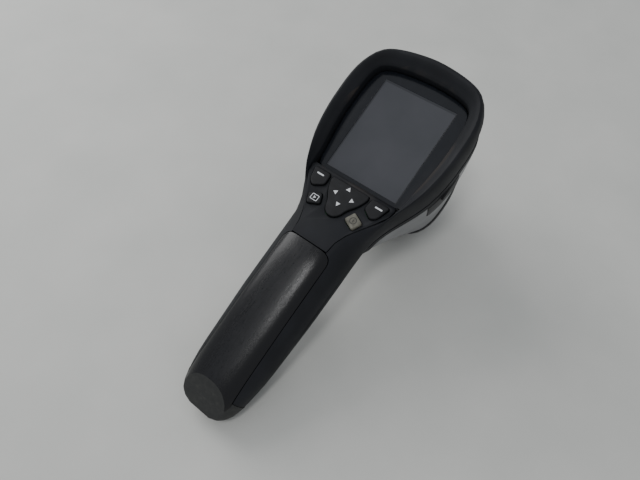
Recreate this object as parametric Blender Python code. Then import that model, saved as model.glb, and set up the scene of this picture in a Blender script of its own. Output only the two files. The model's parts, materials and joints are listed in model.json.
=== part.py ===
"""Handheld thermal imaging camera, as an assembly of separate pieces.

The camera is drawn in its own frame, in millimetres: X to the right of the display, Y up towards
the head, Z out of the display, with the origin at the middle of the display window.  The empty
`resting_pose` turns that frame into the row frame in metres, with +Z up, where the camera lies
display up on the chin of its nose and on the butt of its handle.
"""
from math import cos, hypot, pi, radians, sin

import bmesh
import bpy
from mathutils import Matrix, Vector

MM = 0.001
GAP = 0.3                       # clearance between pieces that touch
WALL = 2.0                      # moulded shell thickness

REST_PITCH = radians(25.008)    # display plane against the table
REST_SHIFT = (0.0, 49.877, 78.515)      # display centre above the middle of the footprint

NOSE_TILT = radians(10.0)       # lens axis against the display's normal
NOSE_CENTRE = (0.0, 3.0, -69.3)
BUMPER_DEPTH = 4.0

WINDOW_X = 45.0                 # display window
WINDOW_Y = 57.8
PLATE_THICK = 1.4

KEYPAD_TOP_Y = -32.0            # upper edge of the sloping keypad
KEYPAD_TOP_Z = 5.2
KEYPAD_SLOPE = 0.18
KEYPAD_TILT = -0.1781           # atan of the slope, as an angle about X

COVER_HALF = 14.5               # battery cover
COVER_TOP = -71.0
COVER_BASE = 8.3
COVER_CORNER = 6.0
STRAP_BAR = (0.0, -165.8, -6.6)
SHELL_END = -157.0              # where the shells meet the butt cap
BUTT_END = -171.0

TRIGGER_PIVOT = (0.0, -74.5, -15.0)
TRIGGER_HALF = 11.8

SHUTTER_PIVOT = (14.0, -10.0)   # in the lens frame
SHUTTER_OPEN = radians(55.0)
KNOB_REACH = 7.5

# Right halves of outlines in the display plane, from the top to the bottom of the camera.
HEAD_OUTLINE = [(0, 47.8), (8, 47.3), (15, 46.3), (21, 45.0), (26, 43.3), (30.2, 40.8), (34, 36.6),
                (37, 30.5), (38.6, 25), (39.4, 18), (39.5, 9), (39.2, 0), (38, -10), (35.9, -19),
                (32.4, -28), (28.6, -36), (24.6, -45), (22.2, -52), (20.9, -60), (20.8, -70),
                (20.9, -85), (20.6, -110), (19.4, -140), (17.4, -157), (14.6, -164.6),
                (9, -169.6), (0, BUTT_END)]
OPENING_OUTLINE = [(0, 37.2), (10, 36.8), (18, 35.8), (24, 34.3), (27.8, 31.9), (29.8, 27.5),
                   (30.9, 20), (31.3, 10), (31.1, 0), (30.2, -10), (29.2, -17), (28.2, -25),
                   (27.4, -33), (26, -38.5), (22.2, -45), (17.6, -52), (14.1, -58), (11.9, -64),
                   (11.2, -70), (11.2, -100), (11.2, -140), (11.2, -160), (9, -166), (0, -167.5)]
HEAD_ANCHORS = (0, 5, 18, 26)
OPENING_ANCHORS = (0, 4, 16, 23)
SPAN_COUNTS = (9, 24, 18)
# Display plate, which ends below the window where the keypad begins.
PLATE_OUTLINE = [(0, 36.8), (10, 36.4), (18, 35.4), (23.7, 33.9), (27.4, 31.6), (29.3, 27.4),
                 (30.4, 20), (30.8, 10), (30.6, 0), (29.7, -10), (28.7, -17), (27.8, -25),
                 (26.6, -30), (24, -31.4), (0, -31.5)]
# Front edge of the nose in the lens frame, with a flat chin.
NOSE_OUTLINE = [(0, 30), (8, 29.6), (16, 27.5), (22.5, 22.5), (26.8, 14), (28.4, 4), (28.3, -6),
                (27, -15), (23.8, -22.5), (18.5, -27.6), (12.5, -29.8), (8, -30), (0, -30)]

# Handle sections: y, half width, crown height, belly height, squareness.
SECTIONS = [(BUTT_END, 7.0, 6.5, -3.5, 2.1), (-169.6, 11.0, 9.4, -6.6, 2.2),
            (-167, 14.0, 11.6, -8.8, 2.3), (-163, 16.0, 13.0, -10.8, 2.3),
            (-157, 17.6, 13.9, -12.6, 2.3), (-148, 18.8, 14.3, -14.2, 2.3),
            (-140, 19.4, 14.4, -15.4, 2.3), (-110, 20.6, 14.4, -18.2, 2.3),
            (-85, 20.9, 14.0, -20.2, 2.3), (-70, 20.8, 13.2, -20.8, 2.4),
            (-60, 20.9, 12.3, -20.6, 2.5), (-52, 22.2, 11.6, -19.4, 2.6),
            (-45, 24.6, 11.0, -18.4, 2.7), (60, 39.5, 9, -18, 2.8)]

# Rim profile from the display recess to the split line: share of the way from the opening to the
# outer outline, and height as a share of the way from the recess edge to the crest.
RIM_PROFILE = [(0.0, 0.0), (0.04, 0.12), (0.2, 0.3), (0.42, 0.64), (0.6, 0.9), (0.74, 1.0),
               (0.86, 0.92), (0.94, 0.66), (0.985, 0.15)]
SIDE_PROFILE = [(1.0, 0.0), (1.0, 0.34), (0.995, 0.67), (0.985, 1.0)]
CREST = 9.0
RECESS_EDGE = 3.9
SIDE_TOP = 0.5
SPLIT = -12.0                   # height of the split line round the head
HEAD_MIDDLE = 5.0
SIDE_TAPER = 0.045              # how the head's wall draws in down to the split
SPLIT_RISE = 0.05               # how it climbs along the handle
RECESS_WALL = 5.6               # depth of the wall round the display and keypad

# Nose and shells: where the nose meets the handle, and how far down its side each row lies.
NECK_JOINT = -58.0
NOSE_STEPS = (0.0, 0.1, 0.25, 0.45, 0.65, 0.85, 1.0)
SCREWS = [("right", 14.2, -65.0), ("left", -14.2, -65.0)]
POST_BASE = -14.0
POST_TOP = -6.3
DOOR_Y = (-18.5, 6.5)           # opening for the connector cover
DOOR_Z = (-34.5, -17.0)
COVER_HINGE = (35.9, -6.0, -34.2)
BUTT_FACE_AT = (0.0, -153.0, 14.4)      # where the slanted end of the grip begins
BUTT_FACE_SLANT = radians(32.0)

# Inner frame and boards, as outlines and as places in the display plane.
FRAME_OUTLINE = [(-22, -40), (-19, -43), (19, -43), (22, -40), (31, -20), (33, 22), (27, 38),
                 (-27, 38), (-33, 22), (-31, -20)]
FRAME_HOLES = [(-18, 20, 18, 14), (8, 24, 20, 8), (18, -4, 10, 18), (-20, -14, 12, 22)]
BOARD_OUTLINE = [(-22, -38), (22, -38), (30, -22), (30, 34), (-30, 34), (-30, -22)]
BOARD_SCREWS = [("upper_left", -26, 31), ("upper_right", 26, 31),
                ("lower_left", -21.5, -33), ("lower_right", 21.5, -33)]
CHIPS = [(-14, 8, 12, 12, 1.2), (-16, -20, 9, 14, 1.0), (14, -18, 10, 10, 1.0), (16, 26, 8, 6, 1.4)]

# Keys: right halves or right-hand keys of the keypad.
SELECT_KEY = [(13.4, -34.2), (24.0, -34.2), (21.6, -42.2), (18.6, -44.6), (12.8, -41.0)]
SMALL_KEY = [(-3.7, -3.1), (3.7, -3.1), (3.7, 3.1), (-3.7, 3.1)]
SMALL_KEY_AT = (12.5, -49.9)
SMALL_KEY_TURN = radians(25.0)
NAV_HALF = [(0, -34.3), (6, -34.3), (11.3, -34.5), (11.4, -37.5), (9.4, -42.3), (6.2, -47),
            (4.6, -51), (2.6, -53.2), (0, -53.9)]
NAV_PIVOT = (0.0, -9.7, -2.4)   # in the keypad frame


# ---------------------------------------------------------------- tools

def clear_scene():
    for item in list(bpy.data.objects):
        bpy.data.objects.remove(item, do_unlink=True)


def material(name, colour, roughness, metallic=0.0, alpha=1.0):
    made = bpy.data.materials.new(name)
    made.use_nodes = True
    shader = made.node_tree.nodes["Principled BSDF"]
    shader.inputs["Base Color"].default_value = (*colour, 1.0)
    shader.inputs["Roughness"].default_value = roughness
    shader.inputs["Metallic"].default_value = metallic
    shader.inputs["Alpha"].default_value = alpha
    made.diffuse_color = (*colour, alpha)
    return made


def frame_empty(name, matrix, parent=None):
    """An empty whose axes are a working frame for the pieces parented to it."""
    empty = bpy.data.objects.new(name, None)
    empty.empty_display_size = 0.02
    empty.matrix_basis = matrix
    empty.parent = parent
    bpy.context.collection.objects.link(empty)
    return empty


def link(name, mesh_builder, finish, parent, pivot=(0.0, 0.0, 0.0), sharp=35.0):
    """Turn a bmesh drawn in millimetres into an object with its origin at `pivot`."""
    bmesh.ops.translate(mesh_builder, verts=mesh_builder.verts, vec=-Vector(pivot))
    bmesh.ops.scale(mesh_builder, verts=mesh_builder.verts, vec=(MM, MM, MM))
    mesh = bpy.data.meshes.new(name)
    mesh_builder.to_mesh(mesh)
    mesh_builder.free()
    mesh.shade_smooth()
    mesh.set_sharp_from_angle(angle=radians(sharp))
    item = bpy.data.objects.new(name, mesh)
    item.location = Vector(pivot) * MM
    item.parent = parent
    if finish is not None:
        mesh.materials.append(finish)
    bpy.context.collection.objects.link(item)
    return item


def combine(item, other, operation):
    """Cut `other` out of an item, join it on, or keep what they share."""
    modifier = item.modifiers.new(operation.lower(), "BOOLEAN")
    modifier.operation = operation
    modifier.object = other
    modifier.solver = "EXACT"
    other.hide_render = True
    other.display_type = "WIRE"


def soften(item, width, segments=2, angle=40.0):
    modifier = item.modifiers.new("edges", "BEVEL")
    modifier.width = width * MM
    modifier.segments = segments
    modifier.limit_method = "ANGLE"
    modifier.angle_limit = radians(angle)
    modifier.harden_normals = False


def thicken(item, wall):
    modifier = item.modifiers.new("wall", "SOLIDIFY")
    modifier.thickness = wall * MM
    modifier.offset = -1.0
    modifier.use_even_offset = True


def smooth_half(points):
    """A dense Catmull-Rom curve through the right half of an outline that is mirrored about X."""
    before = (-points[1][0], points[1][1])
    after = (-points[-2][0], points[-2][1])
    padded = [Vector(p) for p in [before, *points, after]]
    spans = []
    for p0, p1, p2, p3 in zip(padded, padded[1:], padded[2:], padded[3:]):
        span = []
        for step in range(24):
            t = step / 24
            span.append(0.5 * (2 * p1 + (p2 - p0) * t + (2 * p0 - 5 * p1 + 4 * p2 - p3) * t * t
                               + (3 * p1 - p0 - 3 * p2 + p3) * t ** 3))
        spans.append(span)
    return spans, Vector(points[-1])


def even_points(dense, count):
    """`count` steps of equal length along a dense polyline, ends included."""
    lengths = [0.0]
    for a, b in zip(dense, dense[1:]):
        lengths.append(lengths[-1] + (b - a).length)
    result = []
    index = 0
    for step in range(count + 1):
        target = lengths[-1] * step / count
        while index < len(lengths) - 2 and lengths[index + 1] < target:
            index += 1
        stretch = lengths[index + 1] - lengths[index]
        share = (target - lengths[index]) / stretch if stretch else 0.0
        result.append(dense[index].lerp(dense[index + 1], min(1.0, share)))
    return result


def half_curve(points, anchors=None, counts=(40,)):
    """Even points on the smooth right half, with a fixed number between anchor points."""
    spans, last = smooth_half(points)
    anchors = anchors or (0, len(points) - 1)
    result = []
    for first, stop, count in zip(anchors, anchors[1:], counts):
        dense = [p for span in spans[first:stop] for p in span]
        dense.append(spans[stop][0] if stop < len(spans) else last)
        piece = even_points(dense, count)
        result += piece if not result else piece[1:]
    return result


def mirrored(half):
    """A closed outline from its right half."""
    return half + [Vector((-p.x, p.y)) for p in reversed(half[1:-1])]


def strip(bm, row_a, row_b, closed):
    """A band of faces between two rows of vertices."""
    count = len(row_a)
    for i in range(count if closed else count - 1):
        j = (i + 1) % count
        bm.faces.new((row_a[i], row_a[j], row_b[j], row_b[i]))


def loft(rows, closed=True, capped=True):
    """Skin rows of points; the ends are closed with a face each when `capped`."""
    bm = bmesh.new()
    rings = [[bm.verts.new(p) for p in row] for row in rows]
    for a, b in zip(rings, rings[1:]):
        strip(bm, a, b, closed)
    if capped:
        bm.faces.new(list(reversed(rings[0])))
        bm.faces.new(rings[-1])
        bmesh.ops.recalc_face_normals(bm, faces=bm.faces)
    return bm


def slab(outline, z_low, z_high):
    """A flat plate with the given closed outline."""
    bm = bmesh.new()
    face = bm.faces.new([bm.verts.new((p[0], p[1], z_low)) for p in outline])
    grown = bmesh.ops.extrude_face_region(bm, geom=[face])
    moved = [v for v in grown["geom"] if isinstance(v, bmesh.types.BMVert)]
    bmesh.ops.translate(bm, verts=moved, vec=(0, 0, z_high - z_low))
    bmesh.ops.recalc_face_normals(bm, faces=bm.faces)
    return bm


def block(low, high):
    bm = bmesh.new()
    size = Vector(high) - Vector(low)
    middle = (Vector(high) + Vector(low)) / 2
    bmesh.ops.create_cube(bm, size=1.0, matrix=Matrix.Translation(middle) @ Matrix.Diagonal((*size, 1)))
    return bm


AXIS_TURN = {"X": Matrix.Rotation(pi / 2, 4, "Y"), "Y": Matrix.Rotation(-pi / 2, 4, "X"),
             "Z": Matrix.Identity(4)}


def rod(centre, radius, length, axis="Z", sides=24, radius_end=None):
    """A cylinder or cone centred on a point."""
    bm = bmesh.new()
    place = Matrix.Translation(Vector(centre)) @ AXIS_TURN[axis]
    bmesh.ops.create_cone(bm, cap_ends=True, segments=sides, radius1=radius,
                          radius2=radius if radius_end is None else radius_end,
                          depth=length, matrix=place)
    return bm


def turned(profile, centre=(0, 0), sides=32):
    """A ring or disc turned about the local Z axis from an open (radius, z) profile."""
    rows = []
    for step in range(sides):
        angle = 2 * pi * step / sides
        rows.append([Vector((centre[0] + r * cos(angle), centre[1] + r * sin(angle), z))
                     for r, z in profile])
    rows.append(rows[0])
    bm = loft(rows, closed=True, capped=False)
    bmesh.ops.remove_doubles(bm, verts=bm.verts, dist=0.001)
    bmesh.ops.dissolve_degenerate(bm, edges=bm.edges, dist=0.001)
    loose = [edge for edge in bm.edges if not edge.link_faces]
    bmesh.ops.delete(bm, geom=loose, context="EDGES")
    bmesh.ops.recalc_face_normals(bm, faces=bm.faces)
    return bm


def scaled_outline(outline, inset):
    """An outline moved inwards by about `inset` everywhere."""
    count = len(outline)
    result = []
    for i, p in enumerate(outline):
        along = outline[(i + 1) % count] - outline[i - 1]
        inward = Vector((-along.y, along.x)).normalized()
        if inward.dot(Vector(p)) > 0:
            inward = -inward
        result.append(p + inward * inset)
    return result


def blend(a, b, share):
    return a + (b - a) * share


def ease(value, start, end):
    share = max(0.0, min(1.0, (value - start) / (end - start)))
    return share * share * (3 - 2 * share)


# ---------------------------------------------------------------- outer form

def section(y):
    """Half width, crown, belly and squareness of the handle at a station."""
    for low, high in zip(SECTIONS, SECTIONS[1:]):
        if y <= high[0]:
            share = max(0.0, (y - low[0]) / (high[0] - low[0]))
            return [blend(a, b, share) for a, b in zip(low[1:], high[1:])]
    return list(SECTIONS[-1][1:])


def crown_height(x, y):
    half, top, bottom, power = section(y)
    centre = (top + bottom) / 2
    share = max(0.0, 1 - min(1.0, abs(x) / half) ** power)
    return centre + (top - centre) * share ** (1 / power)


def side_share(z, y):
    """How wide the section still is at a height, as a share of its half width."""
    half, top, bottom, power = section(y)
    centre = (top + bottom) / 2
    drop = min(1.0, abs(z - centre) / (top - centre))
    return max(0.0, 1 - drop ** power) ** (1 / power)


def split_height(y):
    return SPLIT + max(0.0, -60 - y) * SPLIT_RISE


def keypad_height(y):
    return KEYPAD_TOP_Z + (KEYPAD_TOP_Y - y) * KEYPAD_SLOPE


def rim_point(inner, outer, across, climb, side):
    """A point on the rear shell; `side` is None above the widest line, else 0 to 1 below it."""
    x = blend(inner.x, outer.x, across)
    y = blend(inner.y, outer.y, across)
    neck = ease(-y, 34, 60)
    half, top, bottom, power = section(y)
    centre = (top + bottom) / 2
    split = split_height(y)
    if side is None:
        edge = RECESS_EDGE
        if y < -22:
            follow = ease(-y, 22, 34)
            edge = blend(RECESS_EDGE, max(RECESS_EDGE, keypad_height(max(y, -60)) + 0.2), follow)
        crest = max(CREST, edge + 0.3)
        head_z = blend(edge, crest, climb)
        neck_z = crown_height(x, y)
        return Vector((x, y, blend(head_z, neck_z, neck)))
    head_z = blend(SIDE_TOP, split, side)
    neck_z = blend(centre, split, side)
    width = blend(1.0 - SIDE_TAPER * side, side_share(neck_z, y), neck)
    drawn_in = (y - HEAD_MIDDLE) * SIDE_TAPER * side * (1 - neck)
    return Vector((x * width, y - drawn_in, blend(head_z, neck_z, neck)))


HEAD_HALF = half_curve(HEAD_OUTLINE, HEAD_ANCHORS, SPAN_COUNTS)
OPENING_HALF = half_curve(OPENING_OUTLINE, OPENING_ANCHORS, SPAN_COUNTS)


def climb_at(across):
    """Climb of the rim profile at any share of the way outwards."""
    for (a, low), (b, high) in zip(RIM_PROFILE, RIM_PROFILE[1:]):
        if across <= b:
            return blend(low, high, (across - a) / (b - a))
    return 0.0


def rim_rows():
    """The closed profile of the rear shell at every station round its opening."""
    outer = mirrored(HEAD_HALF)
    inner = mirrored(OPENING_HALF)
    walls = [min(0.42, WALL / (o - i).length) for i, o in zip(inner, outer)]
    drop = Vector((0, 0, WALL + 0.2))
    foot = Vector((0, 0, RECESS_WALL))

    rows = [[rim_point(i, o, 0.0, 0.0, None) - foot for i, o in zip(inner, outer)]]
    for across, climb in RIM_PROFILE:
        rows.append([rim_point(i, o, across, climb, None) for i, o in zip(inner, outer)])
    for across, side in SIDE_PROFILE:
        rows.append([rim_point(i, o, across, 0.0, side) for i, o in zip(inner, outer)])
    for side in (1.0, 0.45):
        rows.append([rim_point(i, o, 0.985 - w, 0.0, side) for i, o, w in zip(inner, outer, walls)])
    for place in (1.0, 0.5, 0.0):
        row = []
        for i, o, w in zip(inner, outer, walls):
            across = blend(w, 0.985 - w, place)
            row.append(rim_point(i, o, across, climb_at(across), None) - drop)
        rows.append(row)
    rows.append([rim_point(i, o, w, 0.0, None) - foot for i, o, w in zip(inner, outer, walls)])
    rows.append(rows[0])
    return rows


def handle_row(y, steps=48):
    """A closed section of the handle, starting at the right side and going over the crown."""
    half, top, bottom, power = section(y)
    centre = (top + bottom) / 2
    row = []
    for step in range(steps):
        angle = 2 * pi * step / steps
        c, s = cos(angle), sin(angle)
        x = half * abs(c) ** (2 / power) * (1 if c >= 0 else -1)
        z = (top - centre) * abs(s) ** (2 / power) * (1 if s >= 0 else -1)
        row.append(Vector((x, y, centre + z)))
    return row


def handle_solid(y_low, y_high, step=4.0):
    count = max(2, int((y_high - y_low) / step))
    return loft([handle_row(blend(y_low, y_high, i / count)) for i in range(count + 1)])


def belly_row(y, low_edge, count):
    """The underside of the handle from the right split line round to the left one."""
    half, top, bottom, power = section(y)
    centre = (top + bottom) / 2
    edge = half * side_share(low_edge, y)
    row = []
    for step in range(count + 1):
        x = edge * cos(pi * step / count)
        drop = max(0.0, 1 - (abs(x) / half) ** power) ** (1 / power)
        row.append(Vector((x, y, centre - (top - centre) * drop)))
    row[0].z = row[-1].z = low_edge
    return row


# ---------------------------------------------------------------- shells

def cover_outline(grow):
    """The battery cover from the front, with round upper corners, grown by `grow`."""
    side = COVER_HALF + grow
    top = COVER_TOP + grow
    corners = [(-side, -176), (side, -176), (side, top), (-side, top)]
    return rounded(corners, COVER_CORNER, 5)[12:] + [Vector(corners[0]), Vector(corners[1])]


def build_shells(pose, lens, paint):
    bm = loft(rim_rows(), closed=True, capped=False)
    bmesh.ops.remove_doubles(bm, verts=bm.verts, dist=0.001)
    bmesh.ops.recalc_face_normals(bm, faces=bm.faces)
    rear = link("rear_shell", bm, paint["black_shell"], pose)
    for name, x, y in SCREWS:
        boss = link("boss_" + name, rod((x, y, 0.1), 2.9, 12.2, sides=20), None, pose)
        combine(rear, boss, "UNION")
    opening = link("cover_opening", slab(cover_outline(GAP), -1.5, 30), None, pose)
    combine(rear, opening, "DIFFERENCE")
    tail = link("tail_cut", block((-30, -190, -30), (30, SHELL_END, 30)), None, pose)
    combine(rear, tail, "DIFFERENCE")

    stations = [NECK_JOINT - GAP - 0.1 - i * 7.0 for i in range(14)] + [SHELL_END - 0.02]
    rows = [belly_row(y, split_height(y) - GAP, 16) for y in stations]
    front = link("handle_front_shell", loft(rows, closed=False, capped=False),
                 paint["black_shell"], pose)
    front.data.flip_normals()
    thicken(front, WALL)
    above = link("above_split", block((-60, -160, 0), (60, 40, 40)), None, pose)
    above.location = Vector((0, -60, SPLIT - GAP)) * MM
    above.rotation_euler.x = -SPLIT_RISE
    combine(front, above, "DIFFERENCE")
    for name, x_low, x_high in (("left", -15.2, -12.3), ("right", 12.3, 15.2)):
        ear = link("ear_" + name, block((x_low, -78, -18.4), (x_high, -71.2, -11.6)), None, pose)
        combine(front, ear, "UNION")
    slot = link("trigger_slot", block((-TRIGGER_HALF - GAP, -102.6, -30),
                                      (TRIGGER_HALF + GAP, -71.4, -5)), None, pose)
    combine(front, slot, "DIFFERENCE")
    bore = link("pin_bore", rod(TRIGGER_PIVOT, 1.28, 40, "X", 24), None, pose)
    combine(front, bore, "DIFFERENCE")
    for name, x, y in SCREWS:
        column = rod((x, y, (POST_BASE + POST_TOP) / 2), 3.1, POST_TOP - POST_BASE, sides=16)
        post = link("post_" + name, column, None, pose)
        combine(front, post, "UNION")
        hole = link("screw_hole_" + name, rod((x, y, -9), 1.45, 18, sides=20), None, pose)
        combine(rear, hole, "DIFFERENCE")
        combine(front, hole, "DIFFERENCE")
        sink = link("screw_sink_" + name, rod((x, y, POST_BASE - 7.8), 2.7, 20, sides=20), None, pose)
        combine(front, sink, "DIFFERENCE")

    build_nose(pose, lens, paint)

    cover = link("battery_cover", handle_solid(-164.0, COVER_TOP), paint["grip_gloss"], pose)
    keep = link("cover_keep", slab(cover_outline(0), COVER_BASE, 30), None, pose)
    combine(cover, keep, "INTERSECT")
    arch = [(-12.4, 0), (12.4, 0), (12.4, 8.8), (9.6, 11.0), (5, 11.9), (-5, 11.9), (-9.6, 11.0),
            (-12.4, 8.8)]
    ends = (SHELL_END + 2, COVER_TOP - 1.8)
    hollow = link("cover_hollow", loft([[Vector((x, y, z)) for x, z in arch] for y in ends]), None, pose)
    combine(cover, hollow, "DIFFERENCE")
    face = link("butt_face", block((-30, -100, 0), (30, 100, 60)), None, pose)
    face.location = Vector(BUTT_FACE_AT) * MM
    face.rotation_euler.x = BUTT_FACE_SLANT
    combine(cover, face, "DIFFERENCE")

    cap = link("butt_cap", handle_solid(BUTT_END, SHELL_END - GAP, 1.4), paint["butt_grey"], pose)
    over = link("cap_over", block((-COVER_HALF - GAP, -190, COVER_BASE - GAP),
                                  (COVER_HALF + GAP, -150, 30)), None, pose)
    combine(cap, over, "DIFFERENCE")
    combine(cap, face, "DIFFERENCE")
    notch = link("strap_notch", block((-6.5, -180, -20), (6.5, -161.8, -3.6)), None, pose)
    combine(cap, notch, "DIFFERENCE")
    bar_bore = link("bar_bore", rod(STRAP_BAR, 1.1, 18.6, "X", 20), None, pose)
    combine(cap, bar_bore, "DIFFERENCE")
    link("strap_bar", rod(STRAP_BAR, 1.05, 18.0, "X", 20), paint["steel"], pose)


def nose_rows():
    """Rows from the split line down to the edge of the front bumper."""
    outer = HEAD_HALF
    inner = OPENING_HALF
    last_across, last_side = SIDE_PROFILE[-1]
    side = []
    for i, o in zip(inner, outer):
        point = rim_point(i, o, last_across, 0.0, last_side)
        if point.y > NECK_JOINT + 2.5:
            side.append(point - Vector((0, 0, GAP)))
    closing = belly_row(NECK_JOINT, SPLIT - GAP, 14)
    left = [Vector((-p.x, p.y, p.z)) for p in reversed(side[1:])]
    top = side + closing + left
    nose_half = half_curve(NOSE_OUTLINE, (0, 8, 12), (len(side) - 1, 7))
    nose = [Vector((p.x, p.y)) for p in nose_half]
    nose += [Vector((-p.x, p.y)) for p in reversed(nose_half[1:])]
    extra = len(top) - len(nose)
    assert extra == 1 or extra == 0, (len(top), len(nose))
    if extra == 1:
        nose.insert(len(nose) // 2 + 1, nose[len(nose) // 2].copy())
    return top, nose


def nose_front_point(p, back, inset=0.0):
    """A point of the nose outline on a plane `back` behind the front, in the camera frame."""
    length = hypot(p.x, p.y)
    shrink = (length - inset) / length
    along = Vector((0, cos(NOSE_TILT), sin(NOSE_TILT)))
    inwards = Vector((0, -sin(NOSE_TILT), cos(NOSE_TILT)))
    return Vector(NOSE_CENTRE) + Vector((p.x * shrink, 0, 0)) + along * p.y * shrink + inwards * back


def build_nose(pose, lens, paint):
    top, nose = nose_rows()
    rows = []
    for depth in NOSE_STEPS:
        row = []
        for a, p in zip(top, nose):
            b = nose_front_point(p, BUMPER_DEPTH + GAP)
            neck = ease(-a.y, 20, 58)
            narrow = depth ** blend(1.5, 0.85, neck)
            row.append(Vector((blend(a.x, b.x, narrow), blend(a.y, b.y, narrow), blend(a.z, b.z, depth))))
        rows.append(row)
    rows.append([nose_front_point(p, BUMPER_DEPTH + GAP, 4.5) for p in nose])
    bm = loft(rows, closed=True, capped=False)
    bmesh.ops.remove_doubles(bm, verts=bm.verts, dist=0.01)
    shell = link("nose_shell", bm, paint["nose_grey"], pose)
    thicken(shell, WALL)
    above = link("above_nose", block((-60, -100, SPLIT - GAP), (60, 100, 20)), None, pose)
    combine(shell, above, "DIFFERENCE")
    behind = link("behind_nose", block((-60, -120, -100), (60, NECK_JOINT, 20)), None, pose)
    combine(shell, behind, "DIFFERENCE")
    door = block((24, DOOR_Y[0], DOOR_Z[0]), (60, DOOR_Y[1], DOOR_Z[1]))
    combine(shell, link("connector_door_way", door, None, pose), "DIFFERENCE")
    return shell


def build_connector_cover(pose, paint):
    """The rubber cover follows the nose's side, from 0.5 mm outside it to 1.0 mm inside."""
    top, nose = nose_rows()
    rows = []
    for lift in (0.5, -1.0):
        for depth in NOSE_STEPS if lift > 0 else reversed(NOSE_STEPS):
            row = []
            for a, p in zip(top, nose):
                if a.x < 20 or abs(a.y + 6) > 26:
                    continue
                b = nose_front_point(p, BUMPER_DEPTH + GAP)
                narrow = depth ** 1.5
                row.append(Vector((blend(a.x, b.x, narrow) + lift, blend(a.y, b.y, narrow),
                                   blend(a.z, b.z, depth))))
            rows.append(row)
    rows.append(rows[0])
    bm = loft(rows, closed=False, capped=False)
    bmesh.ops.remove_doubles(bm, verts=bm.verts, dist=0.001)
    bmesh.ops.holes_fill(bm, edges=bm.edges)
    bmesh.ops.recalc_face_normals(bm, faces=bm.faces)
    cover = link("connector_cover", bm, paint["rubber"], pose, pivot=COVER_HINGE)
    keep = block((24, DOOR_Y[0] + GAP, DOOR_Z[0] + GAP), (60, DOOR_Y[1] - GAP, DOOR_Z[1] - GAP))
    combine(cover, link("connector_cover_keep", keep, None, pose), "INTERSECT")


# ---------------------------------------------------------------- display and keypad

def build_display(pose, paint):
    outline = mirrored(half_curve(PLATE_OUTLINE, (0, 13, 14), (26, 4)))
    plate = link("display_plate", slab(outline, -PLATE_THICK, 0.0), paint["plate_black"], pose)
    window = link("window_cut", block((-WINDOW_X / 2, -WINDOW_Y / 2, -5), (WINDOW_X / 2, WINDOW_Y / 2, 5)),
                  None, pose)
    combine(plate, window, "DIFFERENCE")
    soften(plate, 0.3, 1)
    pane = link("display_window", block((-24.5, -31, -2.7), (24.5, 31, -1.7)), paint["window_glass"], pose)
    soften(pane, 0.2)
    panel = link("lcd_panel", block((-24, -30.5, -5.6), (24, 30.5, -3.0)), paint["lcd"], pose)
    soften(panel, 0.3)
    chassis = link("inner_frame", slab(FRAME_OUTLINE, -7.2, -5.9), paint["aluminium"], pose)
    for index, (x, y, w, h) in enumerate(FRAME_HOLES):
        window = block((x - w / 2, y - h / 2, -12), (x + w / 2, y + h / 2, 0))
        combine(chassis, link("frame_hole_%d" % index, window, None, pose), "DIFFERENCE")
    soften(chassis, 0.25, 1)


def build_boards(pose, paint):
    board = link("main_board", slab(BOARD_OUTLINE, -9.4, -7.8), paint["board_green"], pose)
    for name, x, y in BOARD_SCREWS:
        bore = link("bore_" + name, rod((x, y, -8), 1.25, 12, sides=20), None, pose)
        combine(board, bore, "DIFFERENCE")
        combine(bpy.data.objects["inner_frame"], bore, "DIFFERENCE")
    for index, (x, y, w, h, t) in enumerate(CHIPS):
        chip = link("chip_%d" % index, block((x - w / 2, y - h / 2, -9.6 - t), (x + w / 2, y + h / 2, -9.0)),
                    None, pose)
        combine(board, chip, "UNION")
    side = link("connector_board", block((22.6, -17, -33), (24.2, 5, -13)), paint["board_green"], pose)
    soften(side, 0.2, 1)
    link("usb_socket", block((24.5, -15.4, -29.6), (31.5, -7.8, -25.8)), paint["steel"], pose)
    mouth = link("usb_mouth", block((26.5, -14.8, -29.0), (34, -8.4, -26.4)), None, pose)
    combine(bpy.data.objects["usb_socket"], mouth, "DIFFERENCE")
    link("power_socket", rod((28, -1.2, -27.6), 3.3, 7.0, "X", 24), paint["black_plastic"], pose)
    hole = link("power_mouth", rod((31, -1.2, -27.6), 2.2, 8.0, "X", 20), None, pose)
    combine(bpy.data.objects["power_socket"], hole, "DIFFERENCE")
    card = link("card_socket", block((24.5, -15.5, -23.4), (30.6, 3.5, -19.4)), paint["steel"], pose)
    slot = link("card_slot_cut", block((26.0, -13.2, -22.4), (36, 1.2, -20.4)), None, pose)
    combine(card, slot, "DIFFERENCE")
    memory = link("memory_card", block((26.3, -12.0, -22.0), (32.6, 0.0, -20.8)), paint["black_plastic"],
                  pose, pivot=(32.6, -6.0, -21.4))
    soften(memory, 0.25, 1)
    link("trigger_switch", block((-4, -83.4, -13.9), (4, -78.9, -9.0)), paint["black_plastic"], pose)
    battery = link("battery", block((-10.9, -152, -10.8), (10.9, -84.5, 8.0)), paint["battery_blue"], pose)
    soften(battery, 3.0, 2)
    contacts = link("battery_contacts", block((-9, -84.2, -8), (9, -79.6, 6.5)), paint["brass"], pose)
    soften(contacts, 0.6, 2)


def key_hole(plate, name, outline, frame):
    grown = scaled_outline_about(outline, 0.4)
    cutter = link("hole_" + name, slab(grown, -6, 6), None, frame)
    combine(plate, cutter, "DIFFERENCE")


def scaled_outline_about(outline, grow):
    """An outline moved outwards from its own middle."""
    middle = sum((Vector(p) for p in outline), Vector((0, 0))) / len(outline)
    moved = scaled_outline([Vector(p) - middle for p in outline], -grow)
    return [p + middle for p in moved]


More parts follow.
